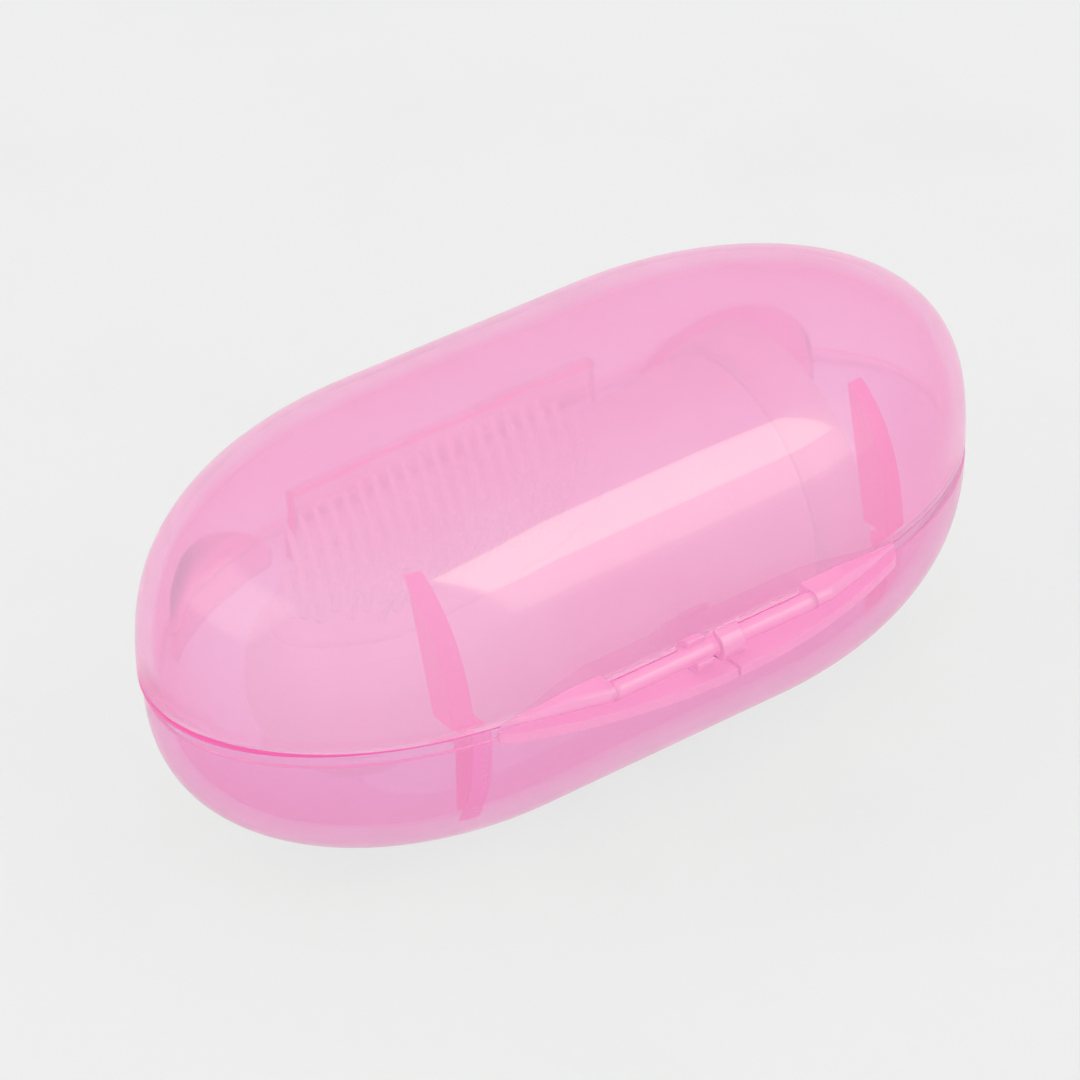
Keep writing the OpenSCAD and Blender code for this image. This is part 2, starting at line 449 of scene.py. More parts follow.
@dataclass(kw_only=True)
class Moulding:
    """One moulding, whose pieces ride on one body."""

    body: ClassVar[str]
    slot: ClassVar[str]
    bounced_light: ClassVar[bool] = True

    def add(
        self,
        name: str,
        node: str,
        skin: Skin,
        finish: Material,
        bevel: float = 0.0,
        weld: float = WELD,
    ) -> bpy.types.Object:
        """Adds one piece of the moulding.

        Args:
            name: The piece's name.
            node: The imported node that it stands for.
            skin: Its points in millimetres, and its faces.
            finish: Its finish.
            bevel: Width of its rounded edges, or 0.
            weld: Points closer than this become one.

        Returns:
            The piece.
        """
        points, faces = skin
        mesh = bpy.data.meshes.new(name)
        mesh.from_pydata([tuple(place(p)) for p in points], [], [tuple(f) for f in faces])
        work = bmesh.new()
        work.from_mesh(mesh)
        bmesh.ops.remove_doubles(work, verts=work.verts, dist=weld * MM)
        bmesh.ops.dissolve_degenerate(work, edges=work.edges, dist=weld * MM)
        bmesh.ops.recalc_face_normals(work, faces=work.faces)
        work.to_mesh(mesh)
        work.free()
        for polygon in mesh.polygons:
            polygon.use_smooth = True
        made = stand(name, mesh)
        made.visible_diffuse = self.bounced_light
        mesh.materials.append(finish)
        if bevel > 0:
            rounding = made.modifiers.new("rounded edges", "BEVEL")
            rounding.width = bevel * MM
            rounding.segments = 3
            rounding.limit_method = "ANGLE"
            rounding.angle_limit = math.radians(35)
            rounding.harden_normals = True
        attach(made, self.body)
        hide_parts(node)
        LOG.info("%s: %d points, %d faces", name, len(mesh.vertices), len(mesh.polygons))
        return made

    @staticmethod
    def accent(
        piece: bpy.types.Object, finish: Material, test: Callable[[Point], bool]
    ) -> None:
        """Gives some faces of a piece a second finish.

        Args:
            piece: The piece.
            finish: The second finish.
            test: Tells, from a face's middle in millimetres, whether it takes that finish.
        """
        piece.data.materials.append(finish)
        for face in piece.data.polygons:
            middle = tuple(c / MM - s for c, s in zip(face.center, SHIFT))
            face.material_index = int(test(middle))


# --- The case ---


@dataclass(frozen=True)
class CapsuleForm:
    """Half of the capsule: elliptic ends in plan and a superellipse in section."""

    half: Half
    height: float
    squareness: float
    half_width: float = 16.0
    end_len: float = 24.3
    straight: float = 10.7
    left_trim: float = 0.0
    foot: float = math.inf
    around: int = 72
    steps: int = 44
    least_inset: float = 0.01

    def ring(self, share: float, inset: float, z: float) -> List[Point]:
        """A level outline.

        Args:
            share: Size of the outline from 0 at the crown to 1 at the rim.
            inset: Distance inside the outer face.
            z: Height.

        Returns:
            The outline's points.
        """
        inset = max(inset, self.least_inset)
        wide = (self.half_width - inset) * share
        points: List[Point] = []
        for side in Side.RIGHT, Side.LEFT:
            trim = self.left_trim * share if side is Side.LEFT else 0.0
            reach = (self.end_len - inset) * share - trim
            for turn in spread(-math.pi / 2, math.pi / 2, self.around):
                x = self.straight + reach * math.cos(turn)
                points.append((side.value * x, side.value * wide * math.sin(turn), z))
        return points

    def dome(self, start: float, inset: float) -> List[List[Point]]:
        """Level outlines from near the rim to the crown, or to the flat foot.

        Args:
            start: Distance from the parting line where they start.
            inset: Distance inside the outer face.

        Returns:
            The outlines.
        """
        top, power = self.height - inset, 2 / self.squareness
        first = math.asin(min(1.0, (start / top) ** (1 / power)))
        rings = []
        for turn in spread(first, math.pi / 2, self.steps):
            rise = min(self.foot, top * math.sin(turn) ** power)
            share = max(0.0, math.cos(turn)) ** power
            rings.append(self.ring(share, inset, self.half.value * rise))
        return rings

    def share(self, z: float, inset: float = 0.0) -> float:
        """Size of the outline at a height.

        Args:
            z: Height above the parting line, or below it for the base.
            inset: Distance inside the outer face.

        Returns:
            The share from 0 to 1.
        """
        level = min(1.0, abs(z) / (self.height - inset))
        return max(0.0, 1.0 - level**self.squareness) ** (1.0 / self.squareness)

    def wall_y(self, x: float, z: float, inset: float = 0.0) -> float:
        """Half the width of the form at a place along it.

        Args:
            x: Place along the case.
            z: Height.
            inset: Distance inside the outer face.

        Returns:
            The distance from the middle plane to the wall.
        """
        share = self.share(z, inset)
        out = max(0.0, abs(x) - self.straight) / (self.end_len - inset)
        return (self.half_width - inset) * math.sqrt(max(0.0, share * share - out * out))

    def outside(self, at: Point, slack: float) -> bool:
        """Whether a place lies on the outer face rather than the inner one.

        Args:
            at: The place.
            slack: How far inside the outer face it may be.

        Returns:
            Whether it does.
        """
        share = self.share(at[2])
        reach = (self.end_len - slack) * share - self.left_trim
        out = max(0.0, abs(at[0]) - self.straight) / reach
        return out**2 + (at[1] / ((self.half_width - slack) * share)) ** 2 > 1


@dataclass(frozen=True)
class Hinge:
    """Sizes that the lid and the base share at the hinge."""

    axis: Flat = (-17.5, 0.65)
    rod_r: float = 0.7
    edge_y: float = -19.8
    chord_y: float = -15.85
    middle: float = 0.8
    half_len: float = 18.0
    left_end: float = 8.8
    right_end: float = 9.3

    def arc_y(self, x: float, inset: float = 0.0) -> float:
        """The ledge's outer edge at a place along the case.

        Args:
            x: Place along the case.
            inset: Distance inside that edge.

        Returns:
            The edge's y.
        """
        chord = self.chord_y - self.edge_y
        radius = (self.half_len**2 + chord**2) / (2 * chord)
        return self.edge_y + inset + radius - math.sqrt(radius**2 - (x - self.middle) ** 2)

    def tip(self, side: Side) -> float:
        """Where the ledge ends on one side, as a distance from the middle of the case."""
        return self.half_len + side.value * self.middle


@dataclass(frozen=True)
class Web:
    """A thin web across the hinge side, from the wall to a nearly upright inner edge.

    Its middle x, its half thickness, the distance of its inner edge from the middle plane and its
    height z all go evenly from a first to a last number.
    """

    x: Flat
    half: Flat
    edge: Flat
    z: Flat
    steps: int = 28

    def skin(self, form: CapsuleForm, wall: float) -> Skin:
        """The web's skin.

        Args:
            form: The form of the half that it stands in.
            wall: Thickness of that half's wall.

        Returns:
            Points and faces.
        """
        rings = []
        for t in spread(0.0, 1.0, self.steps):
            x, half, edge, z = (a + (b - a) * t for a, b in (self.x, self.half, self.edge, self.z))
            ends = [(x + way * half, GAP - form.wall_y(x + way * half, z, wall)) for way in (-1, 1)]
            (left, left_y), (right, right_y) = ends
            rings.append([
                (left, max(-edge, left_y), z), (left, left_y, z),
                (right, right_y, z), (right, max(-edge, right_y), z),
            ])
        return join(rings, caps=True)


@dataclass(kw_only=True)
class CaseHalf(Moulding):
    """What the two halves of the case share: a wall with a rounded rim, and two cross webs."""

    hinge: Hinge
    wall_finish: Material
    rim_finish: Material
    edge_finish: Material
    web_finish: Material
    root_finish: Material
    form: CapsuleForm
    rim_round: float
    wall: float = 1.2
    root: float = 0.3

    def lip(self, level: float, outer: float) -> List[List[Point]]:
        """Outlines over the rounded rim, from its outer side to its inner one.

        Args:
            level: Distance of the rim from the parting line.
            outer: Distance of its outer side inside the outer face.

        Returns:
            The outlines.
        """
        rings = []
        for side, way, turns in ((outer, 1, (0, 30, 60, 90)), (self.wall, -1, (90, 60, 30))):
            for turn in turns:
                a = math.radians(turn)
                inset = side + way * self.rim_round * (1 - math.cos(a))
                rise = level + self.rim_round * (1 - math.sin(a))
                rings.append(self.form.ring(1.0, inset, self.form.half.value * rise))
        return rings

    def add_web(self, side: Side, web: Web) -> None:
        """Adds one cross web, which takes a deeper finish where it meets the wall.

        Args:
            side: The end of the case that it is near.
            web: Its sizes.
        """
        made = self.add(
            f"{self.body}_web_{side.word}", f"{self.body}_fin_{side.word}",
            web.skin(self.form, self.wall), self.web_finish, bevel=0.12,
        )
        self.accent(
            made, self.root_finish,
            lambda at: at[1] < self.root - self.form.wall_y(at[0], at[2], self.wall),
        )


@dataclass(kw_only=True)
class Lid(CaseHalf):
    """The upper half of the case, with its cross fins, hinge wings and rod."""

    body: ClassVar[str] = "lid"
    slot: ClassVar[str] = "lid_plastic"
    form: CapsuleForm = CapsuleForm(Half.LID, 15.1, 3.0)
    rim: float = 0.15
    rim_round: float = 0.15
    line_high: float = 0.42
    line_start: float = 20.0
    line_grow: float = 14.0
    wing_top: float = 1.3
    wing_tip_top: float = 0.35
    wing_low: float = 0.04
    wing_full_part: float = 0.35
    wing_inset: float = 0.5
    wing_short: float = 0.15
    barrel_r: float = 0.62
    rod_wave: float = 0.015
    wave_steps: float = 7.0

    def build(self) -> None:
        """Builds every piece of the lid."""
        self.build_wall()
        edge, z = (9.9, 11.3), (11.4, 2 * self.rim)
        self.add_web(Side.LEFT, Web((-20.1, -19.1), (0.7, 0.85), edge, z))
        self.add_web(Side.RIGHT, Web((18.95, 19.7), (0.7, 0.95), edge, z))
        self.build_wing(Side.LEFT, self.hinge.left_end)
        self.build_wing(Side.RIGHT, self.hinge.right_end)
        self.build_rod()

    def line_top(self, x: float) -> float:
        """Top of the deeper line along the rim, which thickens towards the left end."""
        share = unit((-x - self.line_start) / self.line_grow)
        return self.rim + self.rim_round + self.line_high * share**2

    def build_wall(self) -> None:
        """Builds the clear wall with its rounded rim and the deeper line above it."""
        start = self.rim + self.rim_round
        rings = self.form.dome(start + self.line_high, 0.0)[::-1]
        rings.append([(x, y, self.line_top(x)) for x, y, z in self.form.ring(1.0, 0.0, start)])
        rings += self.lip(self.rim, 0.0)[1:] + self.form.dome(start, self.wall)
        made = self.add("lid_wall", "lid_shell", join(rings), self.wall_finish)
        slack = 0.5 * self.rim_round
        self.accent(
            made, self.rim_finish,
            lambda at: at[2] < self.line_top(at[0]) and self.form.outside(at, slack),
        )

    def build_wing(self, side: Side, start: float) -> None:
        """Builds one wedge wing with its round nose about the hinge axis.

        Its top slopes down towards the ledge's tip.

        Args:
            side: Which side of the clips it stands on.
            start: Distance from the middle of the case to its clip end.
        """
        hinge = self.hinge
        tip = hinge.tip(side)
        full = start + (tip - start) * self.wing_full_part
        rings = []
        for reach in spread(start, tip - self.wing_short, 36):
            x = side.value * reach
            slope = unit((reach - full) / (tip - full))
            top = self.wing_top + (self.wing_tip_top - self.wing_top) * slope
            mid, half = 0.5 * (top + self.wing_low), 0.5 * (top - self.wing_low)
            wall = -self.form.wall_y(x, 0.5 * self.wing_top) - GAP
            nose = max(hinge.arc_y(x, self.wing_inset), hinge.axis[0] - self.barrel_r)
            nose = min(nose, wall - GAP)
            depth = min(self.barrel_r, half, wall - nose)
            ring: List[Point] = [(x, wall, self.rim), (x, wall, top)]
            for turn in range(90, -91, -15):
                a = math.radians(turn)
                ring.append((x, nose + depth * (1 - math.cos(a)), mid + half * math.sin(a)))
            rings.append(ring)
        self.add(
            f"wing_{side.word}", f"hinge_wing_{side.word}", join(rings, caps=True),
            self.edge_finish, bevel=0.12,
        )

    def build_rod(self) -> None:
        """Builds the slightly wavy rod that the clips hold, from wing to wing."""
        hinge = self.hinge
        rings = []
        for i, x in enumerate(spread(-hinge.left_end, hinge.right_end, 36)):
            wave = 1 - math.cos(2 * math.pi * i / self.wave_steps)
            ring = arc(hinge.axis, hinge.rod_r - self.rod_wave * wave, 0, 345, 23)
            rings.append([(x, y, z) for y, z in ring])
        self.add("pivot_rod", "hinge_rod", join(rings, caps=True), self.edge_finish)


@dataclass(kw_only=True)
class Base(CaseHalf):
    """The lower half of the case, with its fins, catch, tabs, ledge and clips."""

    line_finish: Material
    band_finish: Material
    tab_finish: Material
    body: ClassVar[str] = "base"
    slot: ClassVar[str] = "base_plastic"
    form: CapsuleForm = CapsuleForm(Half.BASE, 14.8, 2.6, left_trim=0.4, foot=14.5)
    rim_round: float = 0.12
    inner_top: float = 0.14
    step_h: float = 0.75
    step_in: float = 0.15
    step_soft: float = 0.03
    line_high: float = 0.16
    play: float = 0.45
    tongue_left: float = -14.6
    tongue_right: float = 13.1
    tongue_top: float = 3.3
    ledge_top: float = -0.25
    ledge_low: float = -1.05

    def build(self) -> None:
        """Builds every piece of the base."""
        self.build_wall()
        for side, x in ((Side.LEFT, -17.8), (Side.RIGHT, 19.6)):
            self.add_web(side, Web((x, x), (0.75, 0.75), (11.9, 11.7), (-0.3, -8.9)))
        self.build_tongue()
        self.build_bead()
        for side in Side:
            self.build_tab(side)
        for side in Side:
            self.build_ledge(side)
        self.build_clip(Side.LEFT, -1.4, 1.5, 135.0)
        self.build_clip(Side.RIGHT, 1.2, 2.0, 45.0)

    def build_wall(self) -> None:
        """Builds the clear wall with its stepped rim and its flat foot."""
        low = self.step_h + self.line_high
        rings = self.form.dome(low, 0.0)[::-1]
        for inset, drop in (
            (GAP, self.step_h + GAP),
            (self.step_in - self.step_soft, self.step_h),
            (self.step_in, self.step_h - self.step_soft),
        ):
            rings.append(self.form.ring(1.0, inset, -drop))
        rings += self.lip(0.0, self.step_in) + self.form.dome(self.inner_top, self.wall)
        made = self.add("base_wall", "base_shell", join(rings), self.wall_finish)
        high, slack = self.step_h - GAP, 0.6 * self.wall
        self.accent(
            made, self.line_finish,
            lambda at: -low < at[2] < -high and self.form.outside(at, slack),
        )

    def inner_y(self, x: float, thick: float = 0.0) -> float:
        """How far out there is room inside the lid's far wall, less a thickness."""
        return self.form.wall_y(x, 0.0, self.wall + self.play + thick)

    def build_tongue(self) -> None:
        """Builds the catch tongue that stands up inside the lid, and spreads to the wall below."""
        left, high, thick, root, shoulder = self.tongue_left, self.tongue_top, 0.9, 2.5, 0.1
        soft, edge = 0.2, 0.15
        rings = []
        for x in spread(left, self.tongue_right, 48):
            outer, inner = self.inner_y(x), self.inner_y(x, thick)
            section = [
                (inner, -root), (inner, -0.5 * root), (inner, 0.0), (inner, high - soft),
                (inner + 0.3 * soft, high - 0.3 * soft), (inner + soft, high),
                (outer - soft, high), (outer - 0.3 * soft, high - 0.3 * soft),
                (outer, high - soft), (outer, 0.0),
                (self.form.wall_y(x, -shoulder, self.wall + GAP), -shoulder),
                (self.form.wall_y(x, -root, self.wall + GAP), -root),
            ]
            rings.append([(x, y, z) for y, z in section])
        skin = join(rings, caps=True)
        made = self.add("catch_tongue", "base_catch_tongue", skin, self.band_finish)

        def on_edge(at: Point) -> bool:
            """Tells whether a face lies along the tongue's inner top edge or its left end."""
            top = at[2] > high - edge and at[1] < self.inner_y(at[0], thick) + edge
            return at[2] > 0.0 if at[0] < left + 0.5 * GAP else top

        self.accent(made, self.rim_finish, on_edge)

    def build_bead(self) -> None:
        """Builds the low snap bead on the tongue."""
        start, steps, swell, into = 2.8, 24, 0.2, 0.05
        low, high, near, far = 2.8, self.tongue_top, 0.06, 0.2
        rings = []
        for i, x in enumerate(spread(start, self.tongue_right, steps)):
            y = self.inner_y(x)
            out = swell * min(1.0, 0.5 * min(i, steps - i) + 0.25)
            rings.append([
                (x, y - into, low), (x, y + 0.6 * out, low + near), (x, y + out, low + far),
                (x, y + out, high - far), (x, y + 0.6 * out, high - near), (x, y - into, high),
            ])
        self.add("snap_bead", "base_catch_bead", join(rings, caps=True), self.band_finish)

    def build_tab(self, side: Side) -> None:
        """Builds one arched tab by a far corner.

        Args:
            side: Which end of the case it stands at.
        """
        outer, span, high, thick, root, soft = 29.3, 12.3, 5.1, 0.8, 1.5, 0.15
        lean, full = 0.55, 0.7
        rings = []
        for t in spread(0.0, 1.0, 60):
            x = side.value * (outer - span * t)
            top = high * max(0.0, math.sin(math.pi * t**lean)) ** full
            y_out, y_in = self.inner_y(x), self.inner_y(x, thick)
            low = self.form.wall_y(x, -root, self.wall + GAP)
            shoulder = max(top - soft, 0.0)
            rings.append([
                (x, y_in, -root), (x, y_in, 0.0), (x, y_in, shoulder),
                (x, 0.5 * (y_in + y_out), top),
                (x, y_out, shoulder), (x, y_out, 0.0), (x, low, -root),
            ])
        skin = join(rings, caps=True)
        self.add(f"tab_{side.word}", f"base_tab_{side.word}", skin, self.tab_finish)

    def build_ledge(self, side: Side) -> None:
        """Builds half of the crescent ledge, notched over the rim's step.

        Args:
            side: Which half it is.
        """
        hinge, top, low = self.hinge, self.ledge_top, self.ledge_low
        slot, round_by, crowding = 0.3, 0.8, 1.6
        notch = self.step_soft - self.step_h
        start = hinge.middle + side.value * 0.5 * slot
        end = side.value * hinge.tip(side)
        rings = []
        for t in spread(0.0, 1.0, 56):
            x = start + (end - start) * (1 - (1 - t) ** crowding)
            near_tip = max(0.0, 1 - abs(end - x) / round_by)
            wall = -self.form.wall_y(x, 0.5 * (top + low)) - GAP
            full = (wall - hinge.arc_y(x)) * math.sqrt(max(0.0, 1 - near_tip**2))
            edge = wall - max(self.step_soft, full)
            back = -self.form.wall_y(x, 0.0, self.step_in) - GAP
            rings.append([
                (x, edge, low), (x, edge, top), (x, back, top), (x, back, notch),
                (x, wall, notch), (x, wall, low),
            ])
        self.add(
            f"ledge_{side.word}", f"hinge_ledge_{side.word}", join(rings, caps=True),
            self.edge_finish, bevel=0.17,
        )

    def build_clip(self, side: Side, x: float, wide: float, facing: float) -> None:
        """Builds one C-shaped snap finger around the rod.

        Args:
            side: Which of the two it is.
            x: Its middle along the case.
            wide: Its width along the case.
            facing: Direction of its mouth in degrees, from 0 towards the case to 90 upwards.
        """
        hinge, play, thick, mouth = self.hinge, 0.06, 0.56, 80.0
        inner = hinge.rod_r + play
        first, last = facing + mouth / 2, facing - mouth / 2 + 360
        outline = arc(hinge.axis, inner + thick, first, last, 40)
        outline += arc(hinge.axis, inner, last, first, 40)
        rings = [
            [(end, y, max(z, self.ledge_top)) for y, z in outline]
            for end in (x - wide / 2, x + wide / 2)
        ]
        self.add(
            f"clip_{side.word}", f"hinge_clip_{side.word}", join(rings, caps=True),
            self.edge_finish, bevel=0.13,
        )


# --- The brush ---


@dataclass(kw_only=True)
class Brush(Moulding):
    """The silicone thimble with its cuff, pad and bristles.

    Its sizes are measured along its own axis, from the centre of the domed tip to the mouth. Light
    that has already bounced off something passes it: behind the case's many clear walls the path
    of such light would run out at the brush, and leave it and the table too dark.
    """

    skin_finish: Material
    bristle_finish: Material
    body: ClassVar[str] = "brush"
    slot: ClassVar[str] = "silicone"
    bounced_light: ClassVar[bool] = False
    at: Point = (-17.3, 2.6, -4.9)
    rise: float = 4.9
    swing: float = -2.7
    tip_r: float = 7.8
    mouth_r: float = 10.3
    cone_len: float = 38.7
    wall: float = 1.3
    around: int = 96
    cuff_w: float = 4.6
    cuff_t: float = 0.5
    pad_t: float = 0.6
    pad_half_w: float = 6.6
    pad_left: float = -5.4
    pad_right: float = 22.0
    pad_power: float = 0.8
    scallop: float = 0.12
    pitch: float = 1.25
    bristle_len: float = 3.2
    bristle_low: float = 0.36
    bristle_high: float = 0.24
    bristle_lean: float = 0.06
    bristle_around: int = 10
    rows: int = 4
    margin: float = 1.0

    def build(self) -> None:
        """Builds every piece of the brush."""
        self.build_sleeve()
        self.build_cuff()
        self.build_pad()
        self.build_bristles()

    def lying(self, point: Sequence[float]) -> Point:
        """A point of the thimble where it lies in the case.

        Args:
            point: The point, with the dome's centre at the origin and the mouth towards X.

        Returns:
            The point where it lies.
        """
        turn = Matrix.Rotation(math.radians(self.swing), 3, "Z") @ Matrix.Rotation(
            math.radians(-self.rise), 3, "Y"
        )
        moved = turn @ Vector(point)
        return (moved.x + self.at[0], moved.y + self.at[1], moved.z + self.at[2])

    def radius(self, along: float) -> float:
        """Outer radius at a place along the thimble."""
        cone = self.tip_r + (self.mouth_r - self.tip_r) * along / self.cone_len
        return cone if along >= 0 else math.sqrt(max(0.0, self.tip_r**2 - along**2))

    def on_skin(self, along: float, across: float, lift: float) -> Point:
        """A point over the top of the thimble.

        Args:
            along: Its place along the thimble.
            across: Its distance from the top line, round the thimble.
            lift: Its height above the skin.

        Returns:
            The point where it lies.
        """
        radius = self.radius(along) + lift
        turn = across / max(1.0, self.radius(max(along, 0.0)))
        return self.lying((along, radius * math.sin(turn), radius * math.cos(turn)))

    def turned(self, profile: Sequence[Flat]) -> Skin:
        """Turns a profile about the thimble's axis.

        Args:
            profile: Pairs of place along the axis and radius.

        Returns:
            Points and faces.
        """
        turns = [2 * math.pi * i / self.around for i in range(self.around)]
        return join([
            [self.lying((along, radius * math.cos(a), radius * math.sin(a))) for a in turns]
            for along, radius in profile
        ])

    def build_sleeve(self) -> None:
        """Builds the thin thimble, outside first and then inside."""
        length, mouth, soft_out, soft_in = self.cone_len, self.radius(self.cone_len), 0.3, 0.2
        start, steps, tip = 2.0, 19, (0.0, 0.0)
        outline = arc(tip, self.tip_r, 180, 90, 18)
        outline += [(s, self.radius(s)) for s in spread(start, length - soft_out, steps)]
        outline += [(length, mouth - soft_out), (length, mouth - self.wall + soft_in)]
        outline += [(s, self.radius(s) - self.wall) for s in spread(length - soft_in, start, steps)]
        outline += arc(tip, self.tip_r - self.wall, 90, 180, 18)
        self.add("thimble", "brush_sleeve", self.turned(outline), self.skin_finish)

    def build_cuff(self) -> None:
        """Builds the thick band round the mouth."""
        start, end, under = self.cone_len - self.cuff_w, self.cone_len, 0.5 * GAP
        outline = [(start, self.radius(start) + under)]
        ends = (start, 0.4, range(0, 91, 15)), (end, -0.35, range(90, -1, -15))
        for edge, soft, turns in ends:
            for turn in turns:
                a = math.radians(turn)
                along = edge + soft * (1 - math.cos(a))
                thick = (self.cuff_t - GAP) * math.sin(a)
                outline.append((along, self.radius(along) + GAP + thick))
        outline.append((end, self.radius(end) + under))
        outline.append(outline[0])
        self.add("cuff", "brush_cuff", self.turned(outline), self.skin_finish)

    def build_pad(self) -> None:
        """Builds the oval pad that the bristles stand on, with its scalloped edge."""
        middle = 0.5 * (self.pad_left + self.pad_right)
        reach = 0.5 * (self.pad_right - self.pad_left)

        def blunt(number: float) -> float:
            """A sine or cosine that fills out an oval's corners."""
            return math.copysign(abs(number) ** self.pad_power, number)

        rings = []
        for share, lift in (
            (0.0, self.pad_t), (0.3, self.pad_t), (0.6, self.pad_t), (0.86, self.pad_t),
            (0.95, 0.56), (0.99, 0.42), (1.0, 0.2), (1.0, GAP),
        ):
            ring = []
            for i in range(self.around):
                turn = 2 * math.pi * i / self.around
                along = middle + share * reach * blunt(math.cos(turn))
                wave = self.scallop * math.cos(2 * math.pi * along / self.pitch)
                half = self.pad_half_w + (wave if share > 0.9 else 0.0)
                ring.append(self.on_skin(along, share * half * blunt(math.sin(turn)), lift))
            rings.append(ring)
        self.add("bristle_pad", "brush_pad", join(rings), self.skin_finish)

    def build_bristles(self) -> None:
        """Builds the staggered rows of short tapered bristles."""
        points: List[Point] = []
        faces: List[List[int]] = []
        middle = 0.5 * (self.pad_left + self.pad_right)
        reach = 0.5 * (self.pad_right - self.pad_left) - self.margin
        width = self.pad_half_w - self.margin
        for row in range(-self.rows, self.rows + 1):
            start = self.pad_left + (0.5 * self.pitch if row % 2 else 0.0)
            across = row * self.pitch * math.sqrt(3) / 2
            for k in range(int((self.pad_right - self.pad_left) / self.pitch) + 1):
                along = start + k * self.pitch
                if ((along - middle) / reach) ** 2 + (across / width) ** 2 > 1:
                    continue
                more, joined = self.bristle(along, across, row * 31 + k)
                faces += [[len(points) + i for i in face] for face in joined]
                points += more
        self.add("bristles", "brush_bristles", (points, faces), self.bristle_finish, weld=0.1 * WELD)

    def bristle(self, along: float, across: float, seed: int) -> Skin:
        """One tapered bristle with a round tip.

        Args:
            along: Its place along the thimble.
            across: Its place across the top.
            seed: A number that settles its small lean.

        Returns:
            Points and faces.
        """
        low, high, root_wide, root_high, sunk = self.bristle_low, self.bristle_high, 1.25, 0.15, 0.05
        root = Vector(self.on_skin(along, across, self.pad_t - sunk))
        tip = Vector(self.on_skin(along, across, self.pad_t + self.bristle_len))
        lean = Vector((math.sin(seed * 12.9898), math.cos(seed * 78.233), 0.0)) * self.bristle_lean
        axis = (tip + lean - root).normalized()
        length = (tip - root).length
        u = axis.cross(Vector((0, 1, 0))).normalized()
        v = axis.cross(u)
        profile = [(0.0, low * root_wide), (root_high, low), (length / 2, (low + high) / 2)]
        for turn in (0, 30, 60, 85):
            a = math.radians(turn)
            profile.append((length - high * (1 - math.sin(a)), high * math.cos(a)))
        rings = []
        for height, radius in profile:
            ring = []
            for i in range(self.bristle_around):
                a = 2 * math.pi * i / self.bristle_around
                at = root + axis * height + (u * math.cos(a) + v * math.sin(a)) * radius
                ring.append((at.x, at.y, at.z))
            rings.append(ring)
        return join(rings, caps=True)


# --- The studio ---


def direction(azimuth: float, elevation: float) -> Vector:
    """The direction from the object towards an azimuth and elevation in degrees."""
    a, e = math.radians(azimuth), math.radians(elevation)
    return Vector((math.sin(a) * math.cos(e), -math.cos(a) * math.cos(e), math.sin(e)))


@dataclass(frozen=True)
class Lamp:
    """A soft square lamp, aimed at the case.

    Angles are in degrees and sizes in metres. A lamp that isn't soft only adds to the gloss.
    """

    name: str
    azimuth: float
    elevation: float
    size: Flat
    reach: float
    watts: float
    soft: bool = True
    tint: Tuple[float, float, float] = (1.0, 1.0, 1.0)

    def build(self) -> None:
        """Makes the lamp."""
        data = bpy.data.lights.new(self.name, "AREA")
        data.shape = "RECTANGLE"
        data.size, data.size_y = self.size
        data.energy = self.watts
        data.color = self.tint
        made = stand(self.name, data)
        back = direction(self.azimuth, self.elevation)
        made.location = place((0, 0, 0)) + back * self.reach
        made.rotation_mode = "QUATERNION"
        made.rotation_quaternion = (-back).to_track_quat("-Z", "Y")
        made.visible_diffuse = self.soft


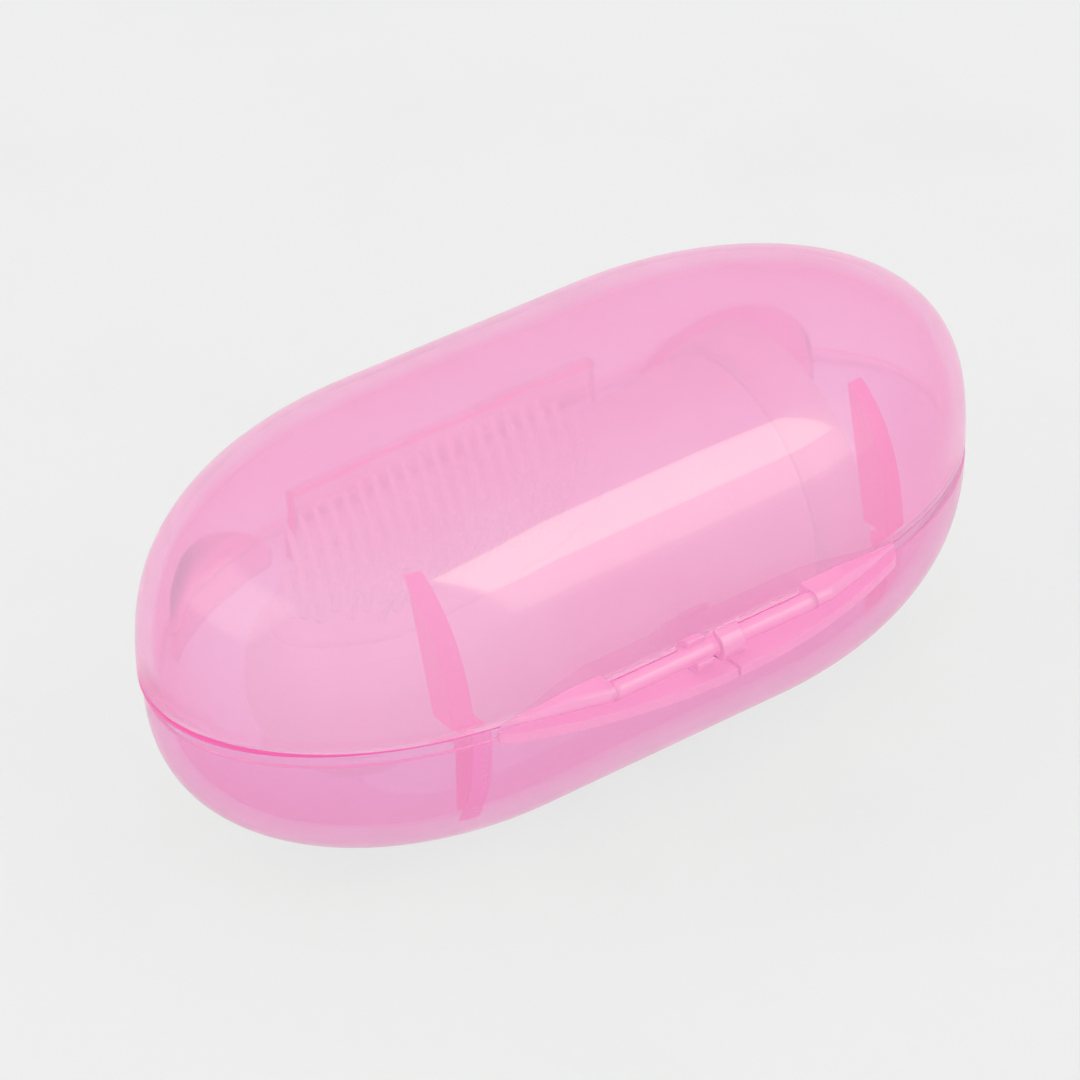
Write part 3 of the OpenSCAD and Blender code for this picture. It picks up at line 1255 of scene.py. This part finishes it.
@dataclass
class Studio:
    """Pale table, soft lamps and the camera."""

    azimuth: float = -36.075
    elevation: float = 34.612
    roll: float = -1.363
    distance: float = 407.918
    lens: float = 186.37
    across: float = -1.619
    upward: float = 0.304
    table_size: float = 6.0
    tone: Colour = colour(239, 239, 239)
    fill: float = 0.96
    gloss_tint: Tuple[float, float, float] = (1.0, 1.0, 0.5)

    def build(self) -> None:
        """Builds the camera, the table, the sky and the lamps."""
        self.build_camera()
        self.build_table()
        self.build_sky()
        tint = self.gloss_tint
        for lamp in (
            Lamp("front_softbox", 31.0, 31.0, (1.5, 2.3), 2.3, 2.5),
            Lamp("left_softbox", -105.0, 40.0, (2.7, 1.6), 2.3, 2.0),
            Lamp("front_gloss", 31.0, 31.0, (1.5, 2.3), 2.3, 105.0, False, tint),
            Lamp("front_gloss_core", 31.0, 42.0, (1.4, 1.2), 2.28, 5.0, False, tint),
            Lamp("left_gloss", -105.0, 40.0, (2.5, 1.5), 2.3, 90.0, False, tint),
        ):
            lamp.build()

    def build_camera(self) -> None:
        """Makes the camera at the viewing angle."""
        data = bpy.data.cameras.new("camera")
        data.lens = self.lens
        data.sensor_width = 36.0
        data.clip_start, data.clip_end = 0.01, 20.0
        made = stand("camera", data)
        back = direction(self.azimuth, self.elevation)
        a, roll = math.radians(self.azimuth), math.radians(self.roll)
        level = Vector((math.cos(a), math.sin(a), 0.0))
        up = back.cross(level)
        right = level * math.cos(roll) + up * math.sin(roll)
        top = up * math.cos(roll) - level * math.sin(roll)
        at = back * self.distance + right * self.across + top * self.upward
        turn = Matrix((right, top, back)).transposed().to_4x4()
        made.matrix_world = Matrix.Translation(place(at)) @ turn
        bpy.context.scene.camera = made

    def build_table(self) -> None:
        """Makes the pale table top that everything stands on."""
        mesh = bpy.data.meshes.new("table_top")
        work = bmesh.new()
        bmesh.ops.create_grid(work, x_segments=8, y_segments=8, size=self.table_size / 2)
        work.to_mesh(mesh)
        work.free()
        mesh.materials.append(TableTop().make())
        stand("table_top", mesh)

    def build_sky(self) -> None:
        """Makes an even pale surrounding that also shows in gloss."""
        world = bpy.data.worlds.new("studio")
        world.use_nodes = True
        bpy.context.scene.world = world
        mix = Nodes(world.node_tree)
        seen = mix.node("ShaderNodeBackground", Color=self.tone, Strength=1.0)
        fill = mix.node("ShaderNodeBackground", Color=colour(255, 255, 255), Strength=self.fill)
        shown = mix.ray("Is Camera Ray") + mix.ray("Is Glossy Ray") + mix.ray("Is Transmission Ray")
        both = mix.mix_shaders(shown.clamped(), fill, seen)
        mix.node("ShaderNodeOutputWorld", Surface=both)


def main() -> None:
    """Builds the whole scene."""
    logging.basicConfig(level=logging.INFO, format="%(message)s")
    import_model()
    bpy.context.scene.view_settings.view_transform = "Standard"
    Studio().build()
    wall = {"ior": 1.3, "ripple": 0.12}
    lid_clear = ClearPlastic(
        "clear_pink_lid", (255, 214, 240), (255, 147, 204), 0.74, 0.08,
        (0.995, 0.99, 0.992, 1.0), **wall,
    ).make()
    base_clear = ClearPlastic(
        "clear_pink_base", (249, 197, 232), (250, 145, 202), 0.74, 0.10,
        (0.978, 0.972, 0.975, 1.0), **wall,
    ).make()
    rim = ClearPlastic(
        "rim_pink", (255, 92, 178), (255, 88, 175), 0.15, 0.10, coat=0.4, grain=0.0
    ).make()
    line = ClearPlastic(
        "line_pink", (255, 158, 208), (255, 150, 204), 0.5, 0.08, grain=0.0
    ).make()
    edge = ClearPlastic(
        "edge_pink", (255, 174, 217), (255, 154, 208), 0.35, 0.06, (1.0, 0.99, 0.995, 1.0),
        grain=0.0,
    ).make()
    thin = {"ior": 1.08, "coat": 0.0}
    band = ClearPlastic("band_pink", (255, 240, 248), (255, 215, 236), 0.95, 0.06, **thin).make()
    tab = ClearPlastic("tab_pink", (255, 196, 229), (255, 178, 220), 0.88, 0.06, **thin).make()
    inner = {"ior": 1.2, "coat": 0.0}
    web = ClearPlastic("web_pink", (255, 84, 188), (255, 78, 184), 0.45, 0.06, **inner).make()
    root = ClearPlastic(
        "web_root_pink", (255, 52, 180), (255, 48, 176), 0.15, 0.10, **inner
    ).make()
    low_root = ClearPlastic(
        "low_root_pink", (255, 150, 214), (255, 142, 210), 0.3, 0.10, **inner
    ).make()
    rubber = {"coat": 0.0, "ripple": 0.12, "ripple_scale": 420.0, "grain": 0.10}
    silicone = ClearPlastic(
        "milky_silicone", (245, 188, 217), (240, 176, 209), 0.5, 0.2,
        (1.0, 0.998, 0.999, 1.0), ior=1.1, **rubber,
    ).make()
    bristle = ClearPlastic(
        "bristle_silicone", (252, 202, 226), (250, 192, 220), 0.58, 0.2,
        (1.0, 0.998, 0.999, 1.0), ior=1.08, **rubber,
    ).make()
    hinge = Hinge()
    shared = {"hinge": hinge, "rim_finish": rim, "edge_finish": edge, "web_finish": web}
    Lid(wall_finish=lid_clear, root_finish=root, **shared).build()
    Base(
        wall_finish=base_clear, root_finish=low_root, line_finish=line, band_finish=band,
        tab_finish=tab, **shared,
    ).build()
    Brush(skin_finish=silicone, bristle_finish=bristle).build()
    LOG.info("size written")


if __name__ == "__main__":
    main()
